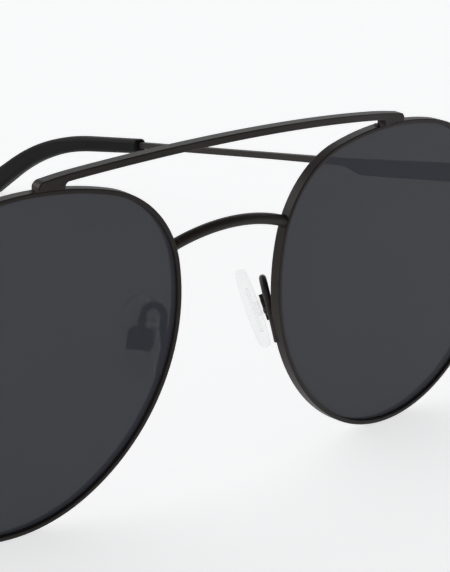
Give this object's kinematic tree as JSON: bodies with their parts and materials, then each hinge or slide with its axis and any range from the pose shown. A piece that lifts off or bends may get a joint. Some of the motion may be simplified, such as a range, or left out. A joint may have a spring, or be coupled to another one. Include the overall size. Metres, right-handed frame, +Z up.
{
  "type": "sunglasses",
  "caption": "Double-bridge metal aviator sunglasses with thin rims, flat dark lenses, a flat brow bar, soft nose pads on wire arms, and folding temples with plastic tips.",
  "frame": {"origin": "on the resting surface, under the middle of the open glasses: rims and temple tips stand at Z = 0", "axes": "+X to the wearer's left, +Y back along the temples, +Z up"},
  "size_m": [0.1366, 0.1528, 0.0549],
  "materials": {
    "black_metal": "matt black lacquer over metal",
    "tinted_lens": "dark neutral grey tint",
    "pad_silicone": "clear silicone",
    "pad_insert": "clear hard plastic",
    "tip_plastic": "matt black",
    "screw_steel": "blackened steel"
  },
  "bodies": {
    "front": {"brow_bar": "black_metal", "nose_bridge": "black_metal", "left_rim": "black_metal", "left_lens": "tinted_lens", "left_pad_arm": "black_metal", "left_pad_box": "black_metal", "left_pad_screw": "screw_steel", "left_end_piece": "black_metal", "left_rim_lock_upper": "black_metal", "left_rim_lock_lower": "black_metal", "left_rim_lock_screw": "screw_steel", "left_front_hinge": "black_metal", "left_hinge_screw": "screw_steel", "right_rim": "black_metal", "right_lens": "tinted_lens", "right_pad_arm": "black_metal", "right_pad_box": "black_metal", "right_pad_screw": "screw_steel", "right_end_piece": "black_metal", "right_rim_lock_upper": "black_metal", "right_rim_lock_lower": "black_metal", "right_rim_lock_screw": "screw_steel", "right_front_hinge": "black_metal", "right_hinge_screw": "screw_steel"},
    "left_arm": {"left_temple": "black_metal", "left_temple_hinge": "black_metal", "left_temple_tip": "tip_plastic"},
    "right_arm": {"right_temple": "black_metal", "right_temple_hinge": "black_metal", "right_temple_tip": "tip_plastic"},
    "left_pad": {"left_nose_pad": "pad_silicone", "left_pad_core": "pad_insert"},
    "right_pad": {"right_nose_pad": "pad_silicone", "right_pad_core": "pad_insert"}
  },
  "joints": [
    {"name": "left_temple_fold", "type": "hinge", "parent": "front", "child": "left_arm", "pos_m": [0.065, -0.06415, 0.03519], "axis": [0, -0.0193, 0.9998], "range_deg": [0, 88]},
    {"name": "right_temple_fold", "type": "hinge", "parent": "front", "child": "right_arm", "pos_m": [-0.065, -0.06415, 0.03519], "axis": [0, 0.0193, -0.9998], "range_deg": [0, 86]},
    {"name": "left_pad_rock", "type": "hinge", "parent": "front", "child": "left_pad", "pos_m": [0.01262, -0.06798, 0.02392], "axis": [0.599, 0.8006, 0.0155], "range_deg": [-6, 6]},
    {"name": "right_pad_rock", "type": "hinge", "parent": "front", "child": "right_pad", "pos_m": [-0.01262, -0.06798, 0.02392], "axis": [0.599, -0.8006, -0.0155], "range_deg": [-6, 6]}
  ]
}
